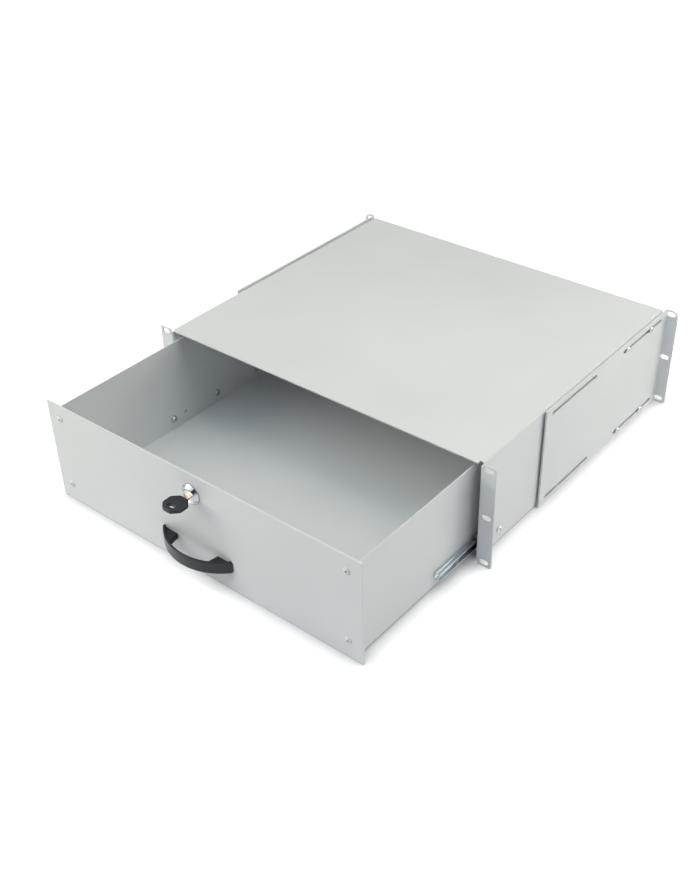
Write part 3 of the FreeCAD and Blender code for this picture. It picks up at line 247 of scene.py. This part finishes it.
whole_room = add_node(tree, "ShaderNodeMixShader", {
    0: rays["Is Camera Ray"], 1: unseen_room.outputs[0], 2: seen_room.outputs[0]})
add_node(tree, "ShaderNodeOutputWorld", {"Surface": whole_room.outputs[0]})
print("Made", world.name)

# %% [markdown]
# The photograph tells where its lamps stood. The open drawer's floor is well lit in front and
# dark under the cover, so the largest lamp hangs above and in front of it. The front panel is
# brighter at its left end, so another stands at the front left, which also leaves the right ear
# in the drawer's shade. The cover's side wall gets brighter towards the back, so two small ones
# stand on the right, one low and behind it and one higher. A last one above keeps the far end of
# the top even. Each has its name, its place, the point that it faces, its size in metres, its
# power in watts and its tint.

# %% Hang the lamps
LAMPS = [
    ("top_front_lamp", (-0.2, -0.8, 1.8), (0, -0.1, 0), 1.8, 17.2, (0.86, 1.01, 1.05)),
    ("front_left_lamp", (-1.1, -1.05, 0.8), (0, -0.1, 0), 1.0, 13.9, (1.06, 1.02, 0.85)),
    ("rear_right_lamp", (1.0, 0.8, 0.55), (0.2, 0.3, 0), 0.7, 5.4, (1.04, 1.01, 0.90)),
    ("top_right_lamp", (0.8, 0.2, 1.2), (0, 0, 0), 0.8, 6.4, (0.96, 1.04, 0.94)),
    ("top_lamp", (0, 0.2, 2.2), (0, 0.2, 0), 2.0, 3.4, (1.65, 0.93, 0.42)),
]


def hang_lamp(name, place, target, size, power, tint):
    """A square soft lamp at a place, facing a target."""
    bpy.ops.object.light_add(type="AREA", location=place)
    lamp = bpy.context.object
    lamp.name = name
    lamp.data.size = size
    lamp.data.energy = power
    lamp.data.color = tint
    lamp.rotation_euler = (Vector(target) - Vector(place)).to_track_quat("-Z", "Y").to_euler()


for settings in LAMPS:
    hang_lamp(*settings)

# %% [markdown]
# Nearly all of the drawer is folded sheet steel with a light grey powder coat. The powder melts
# in an oven and flows out into a satin skin with a very fine ripple, called orange peel. Its
# ripples are under a millimetre, too fine for this view, so they are drawn 2.4 mm wide and very
# shallow. The colour drifts by a hair over the sheet. The shader also rounds the look of the
# cut edges, because the coat gathers there and never leaves a knife edge.

# %% Make the grey powder coat
PEEL_WIDTH = 2.4 * MM
PEEL_DEPTH = 0.02 * MM
PEEL_STRENGTH = 0.25
DRIFT_WIDTH = 160 * MM
EDGE_ROUND = 0.5 * MM
COAT_SMOOTH = 0.42
COAT_ROUGH = 0.52
COAT_IOR = 1.5


def make_powder_coat():
    finish, tree, place = new_finish("light_grey_powder_coat")
    drift = add_node(tree, "ShaderNodeTexNoise",
                     {"Vector": place, "Scale": 1 / DRIFT_WIDTH, "Detail": 2.0, "Roughness": 0.5})
    colour = add_node(tree, "ShaderNodeValToRGB", {"Fac": drift.outputs["Fac"]},
                      steps=[(NOISE_LOW, "#D8DADD"), (NOISE_HIGH, "#DEE0E3")])
    peel = add_node(tree, "ShaderNodeTexNoise",
                    {"Vector": place, "Scale": 1 / PEEL_WIDTH, "Detail": 1.0, "Roughness": 0.4})
    soft_edge = add_node(tree, "ShaderNodeBevel", {"Radius": EDGE_ROUND}, samples=4)
    ripple = add_node(tree, "ShaderNodeBump", {
        "Height": peel.outputs["Fac"], "Strength": PEEL_STRENGTH, "Distance": PEEL_DEPTH,
        "Normal": soft_edge.outputs["Normal"]})
    gloss = add_node(tree, "ShaderNodeMapRange", {
        "Value": peel.outputs["Fac"], "To Min": COAT_SMOOTH, "To Max": COAT_ROUGH})
    coat = add_node(tree, "ShaderNodeBsdfPrincipled", {
        "Base Color": colour.outputs["Color"], "Roughness": gloss.outputs["Result"],
        "Normal": ripple.outputs["Normal"], "IOR": COAT_IOR})
    add_node(tree, "ShaderNodeOutputMaterial", {"Surface": coat.outputs["BSDF"]})
    return finish


powder_coat = make_powder_coat()
print("Made", powder_coat.name)

# %% [markdown]
# The slides are rolled from strip steel and then zinc plated with a clear passivation, a thin
# skin that shows faint green, blue and straw tints as the light catches it. The rolls leave fine
# lines along the rail. The tints are a soft pattern stretched along the rail, and the lines
# change the gloss and, by a few thousandths of a millimetre, the relief.

# %% Make the zinc plating of the slides
TINT_WIDTH = 5 * MM
ROLL_LINE = 0.8 * MM
ROLL_DEPTH = 0.004 * MM
ROLL_STRENGTH = 0.3
ALONG_RAIL = (1.0, 0.02, 1.0)
RAIL_SMOOTH = 0.12
RAIL_ROUGH = 0.30


def make_rail_zinc():
    finish, tree, place = new_finish("rolled_zinc_plate")
    mapping = add_node(tree, "ShaderNodeMapping", {"Vector": place, "Scale": ALONG_RAIL})
    stretched = mapping.outputs["Vector"]
    tint = add_node(tree, "ShaderNodeTexNoise",
                    {"Vector": stretched, "Scale": 1 / TINT_WIDTH, "Detail": 3.0, "Roughness": 0.6})
    colour = add_node(tree, "ShaderNodeValToRGB", {"Fac": tint.outputs["Fac"]}, steps=[
        (0.30, "#AEBCBD"), (0.45, "#CED3D6"), (0.58, "#C4CEDB"), (0.72, "#D3D3C9")])
    lines = add_node(tree, "ShaderNodeTexNoise",
                     {"Vector": stretched, "Scale": 1 / ROLL_LINE, "Detail": 2.0, "Roughness": 0.7})
    gloss = add_node(tree, "ShaderNodeMapRange", {
        "Value": lines.outputs["Fac"], "To Min": RAIL_SMOOTH, "To Max": RAIL_ROUGH})
    grain = add_node(tree, "ShaderNodeBump", {
        "Height": lines.outputs["Fac"], "Strength": ROLL_STRENGTH, "Distance": ROLL_DEPTH})
    plating = add_node(tree, "ShaderNodeBsdfPrincipled", {
        "Base Color": colour.outputs["Color"], "Metallic": 1.0,
        "Roughness": gloss.outputs["Result"], "Normal": grain.outputs["Normal"]})
    add_node(tree, "ShaderNodeOutputMaterial", {"Surface": plating.outputs["BSDF"]})
    return finish


rail_zinc = make_rail_zinc()
print("Made", rail_zinc.name)

# %% [markdown]
# The smaller metal pieces differ in colour and in how smooth they are, so one function makes
# them all from a pair of colours, a range of gloss and the size of their texture. Bright zinc
# screws come tumbled from the plating barrel. The rivets are bought painted in the sheet's grey,
# so only the snapped pin in the middle of each is bare steel. The pin is coloured near black,
# which is partly its dull steel and partly painted shade for the hollow that it sits in. The balls
# are polished hard steel, and their cage is plain strip. The lock's body is polished chrome, its
# cylinder turned brass with a thin nickel wash, and the key a plated blank.

# %% Make the small metals
GRAIN_STRENGTH = 0.3


def make_metal(name, dark, light, smooth, rough, grain_width, relief):
    """A bare or plated metal: two close colours and a gloss that wander with a fine grain."""
    finish, tree, place = new_finish(name)
    grain = add_node(tree, "ShaderNodeTexNoise",
                     {"Vector": place, "Scale": 1 / grain_width, "Detail": 3.0, "Roughness": 0.6})
    colour = add_node(tree, "ShaderNodeValToRGB", {"Fac": grain.outputs["Fac"]},
                      steps=[(NOISE_LOW, dark), (NOISE_HIGH, light)])
    gloss = add_node(tree, "ShaderNodeMapRange", {
        "Value": grain.outputs["Fac"], "To Min": smooth, "To Max": rough})
    bump = add_node(tree, "ShaderNodeBump", {
        "Height": grain.outputs["Fac"], "Strength": GRAIN_STRENGTH, "Distance": relief})
    metal = add_node(tree, "ShaderNodeBsdfPrincipled", {
        "Base Color": colour.outputs["Color"], "Metallic": 1.0,
        "Roughness": gloss.outputs["Result"], "Normal": bump.outputs["Normal"]})
    add_node(tree, "ShaderNodeOutputMaterial", {"Surface": metal.outputs["BSDF"]})
    return finish


screw_zinc = make_metal("barrel_zinc_plate", "#B4BBBD", "#D2D6D6", 0.20, 0.38, 1.2 * MM, 0.01 * MM)
# The pin's near-black colour is partly dull steel and partly painted shade in the rivet's hollow.
pin_steel_with_painted_shade = make_metal("pin_steel_with_painted_hollow_shade", "#26272A", "#3B3C40", 0.50, 0.70, 0.4 * MM, 0.05 * MM)
ball_steel = make_metal("polished_ball_steel", "#C9CCCE", "#DADCDD", 0.05, 0.10, 0.6 * MM, 0.002 * MM)
cage_steel = make_metal("plain_cage_strip", "#A2A6A7", "#B9BCBC", 0.30, 0.45, 1.5 * MM, 0.01 * MM)
lock_chrome = make_metal("polished_chrome", "#A3A7B0", "#B2B5BD", 0.12, 0.20, 2.5 * MM, 0.002 * MM)
plug_brass = make_metal("nickel_washed_brass", "#B4ADA8", "#C8C0BA", 0.22, 0.36, 0.7 * MM, 0.01 * MM)
key_plate = make_metal("plated_key_blank", "#C4BDB6", "#D2CBC3", 0.28, 0.40, 0.8 * MM, 0.01 * MM)
small_metals = [screw_zinc, pin_steel_with_painted_shade, ball_steel, cage_steel, lock_chrome, plug_brass, key_plate]
print("Made", [finish.name for finish in small_metals])

# %% [markdown]
# The bow handle and the key's head are moulded in black glass-filled nylon. The mould's fine
# spark texture breaks up the gloss, and the colour is a blue-black that never reaches pure
# black. The texture is drawn 0.7 mm wide, coarser than life, so that it can show. Moulded edges
# are rounded, so the shader bends the light over them as a radius would.

# %% Make the black nylon
SPARK_WIDTH = 0.7 * MM
SPARK_DEPTH = 0.02 * MM
SPARK_STRENGTH = 0.4
MOULD_ROUND = 1.2 * MM
NYLON_SMOOTH = 0.30
NYLON_ROUGH = 0.44
NYLON_IOR = 1.42


def make_black_nylon():
    finish, tree, place = new_finish("black_moulded_nylon")
    sparks = add_node(tree, "ShaderNodeTexNoise",
                      {"Vector": place, "Scale": 1 / SPARK_WIDTH, "Detail": 2.0, "Roughness": 0.6})
    colour = add_node(tree, "ShaderNodeValToRGB", {"Fac": sparks.outputs["Fac"]},
                      steps=[(NOISE_LOW, "#10141B"), (NOISE_HIGH, "#171B23")])
    gloss = add_node(tree, "ShaderNodeMapRange", {
        "Value": sparks.outputs["Fac"], "To Min": NYLON_SMOOTH, "To Max": NYLON_ROUGH})
    soft_edge = add_node(tree, "ShaderNodeBevel", {"Radius": MOULD_ROUND}, samples=6)
    texture = add_node(tree, "ShaderNodeBump", {
        "Height": sparks.outputs["Fac"], "Strength": SPARK_STRENGTH, "Distance": SPARK_DEPTH,
        "Normal": soft_edge.outputs["Normal"]})
    nylon = add_node(tree, "ShaderNodeBsdfPrincipled", {
        "Base Color": colour.outputs["Color"], "Roughness": gloss.outputs["Result"],
        "Normal": texture.outputs["Normal"], "IOR": NYLON_IOR})
    add_node(tree, "ShaderNodeOutputMaterial", {"Surface": nylon.outputs["BSDF"]})
    return finish


black_nylon = make_black_nylon()
print("Made", black_nylon.name)

# %% [markdown]
# Each piece of the CAD model now gets its finish. Pieces that come from the same workshop share
# one: everything folded from sheet went through the same coating line, and all the screws came
# from the same plating barrel.

# %% Dress the CAD pieces
DRESSING = [
    (powder_coat, ["case_cover", "lock_strike", "rear_bracket_right", "rear_bracket_left",
                   "drawer_tub", "front_panel", "panel_rivets"]),
    (rail_zinc, ["cover_slide_right", "cover_slide_left", "drawer_slide_right", "drawer_slide_left"]),
    (screw_zinc, ["cover_slide_screws", "cover_slide_flat_screws", "bracket_bolts", "bracket_spacers",
                  "drawer_slide_screws", "drawer_slide_washers", "drawer_slide_nuts",
                  "handle_screws", "cam_screw", "lock_nut", "lock_cam"]),
    (pin_steel_with_painted_shade, ["rivet_mandrels"]),
    (ball_steel, ["slide_balls_right", "slide_balls_left"]),
    (cage_steel, ["ball_cage_right", "ball_cage_left"]),
    (lock_chrome, ["lock_housing"]),
    (plug_brass, ["lock_plug"]),
    (key_plate, ["key_blade"]),
    (black_nylon, ["handle", "key_head"]),
]
for finish, names in DRESSING:
    for name in names:
        nodes[name].data.materials.clear()
        nodes[name].data.materials.append(finish)
dressed = {name for finish, names in DRESSING for name in names}
print("Dressed", len(dressed), "pieces, left plain:", sorted(set(nodes) - dressed))

# %% [markdown]
# Behind the front panel, the lock's body is threaded for its nut, with two flats milled along
# it. A thread is one triangular rib wound round the body, so it is made the way a lathe makes it:
# a small triangle is swept round the lock's axis by a Screw modifier. The triangle starts out with
# equal sides, 1.5 times as tall as the radius round its corners, and is squashed to the thread's
# height. Its middle then lies a third of that height above its foot. Milling comes after the
# turning on the real lock, and here too: a slab as thick as the lock is across its flats keeps
# what lies between them.

# %% Wind the lock's thread
THREAD_PITCH = 1.0 * MM
THREAD_HEIGHT = 0.35 * MM
THREAD_SUNK = 0.05 * MM
THREAD_FOOT = 0.9 * THREAD_PITCH
THREAD_STEPS = 48
THREAD_END_GAP = 0.6 * MM
BARREL_RADIUS = 9.0 * MM
BARREL_FLATS = 16.0 * MM
SLAB_SIDE = 3 * BARREL_RADIUS


def apply_modifier(thing, modifier):
    """Turn a modifier's result into the thing's own mesh."""
    bpy.ops.object.select_all(action="DESELECT")
    thing.select_set(True)
    bpy.context.view_layer.objects.active = thing
    bpy.ops.object.modifier_apply(modifier=modifier.name)


def wind_thread(start, turns, axis_level):
    """A rib round the lock's axis, so many turns back from start, cut off at the two flats."""
    round_corners = THREAD_FOOT / math.sqrt(3)
    tall = round_corners * 1.5
    depth = THREAD_HEIGHT + THREAD_SUNK
    bpy.ops.object.select_all(action="DESELECT")
    bpy.ops.mesh.primitive_circle_add(vertices=3, radius=round_corners,
                                      rotation=(math.pi / 2, math.pi / 2, 0))
    thread = bpy.context.object
    thread.name = "lock_thread"
    bpy.ops.object.transform_apply(location=True, rotation=True, scale=True)
    thread.scale.x = depth / tall
    thread.location = (BARREL_RADIUS - THREAD_SUNK + depth / 3, 0, THREAD_FOOT / 2)
    bpy.ops.object.transform_apply(location=True, rotation=True, scale=True)
    corners = [[round(part / MM, 2) for part in corner.co] for corner in thread.data.vertices]
    print("Thread profile in mm:", corners)
    winding = thread.modifiers.new("winding", "SCREW")
    winding.screw_offset = THREAD_PITCH
    winding.iterations = turns
    winding.steps = THREAD_STEPS
    winding.render_steps = THREAD_STEPS
    winding.use_smooth_shade = False
    apply_modifier(thread, winding)
    thread.rotation_euler = (-math.pi / 2, 0, 0)
    thread.location = (0, start, axis_level)
    bpy.ops.object.transform_apply(location=True, rotation=True, scale=True)
    bpy.ops.object.mode_set(mode="EDIT")
    bpy.ops.mesh.select_all(action="SELECT")
    bpy.ops.mesh.fill_holes(sides=3)
    bpy.ops.mesh.select_all(action="SELECT")
    bpy.ops.mesh.normals_make_consistent(inside=False)
    bpy.ops.object.mode_set(mode="OBJECT")

    bpy.ops.object.select_all(action="DESELECT")
    bpy.ops.mesh.primitive_cube_add(size=1, location=(0, start, axis_level))
    slab = bpy.context.object
    slab.scale = (SLAB_SIDE, SLAB_SIDE, BARREL_FLATS)
    milling = thread.modifiers.new("milling", "BOOLEAN")
    milling.operation = "INTERSECT"
    milling.object = slab
    apply_modifier(thread, milling)
    bpy.data.objects.remove(slab)
    return thread


housing_low, housing_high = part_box("lock_housing")
nut_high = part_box("lock_nut")[1]
thread_start = nut_high.y + THREAD_END_GAP
thread_turns = int((housing_high.y - THREAD_END_GAP - thread_start) / THREAD_PITCH)
lock_thread = wind_thread(thread_start, thread_turns, (housing_low.z + housing_high.z) / 2)
lock_thread.data.materials.append(lock_chrome)
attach(lock_thread, "drawer")
print("Thread of", thread_turns, "turns with", len(lock_thread.data.polygons), "faces")
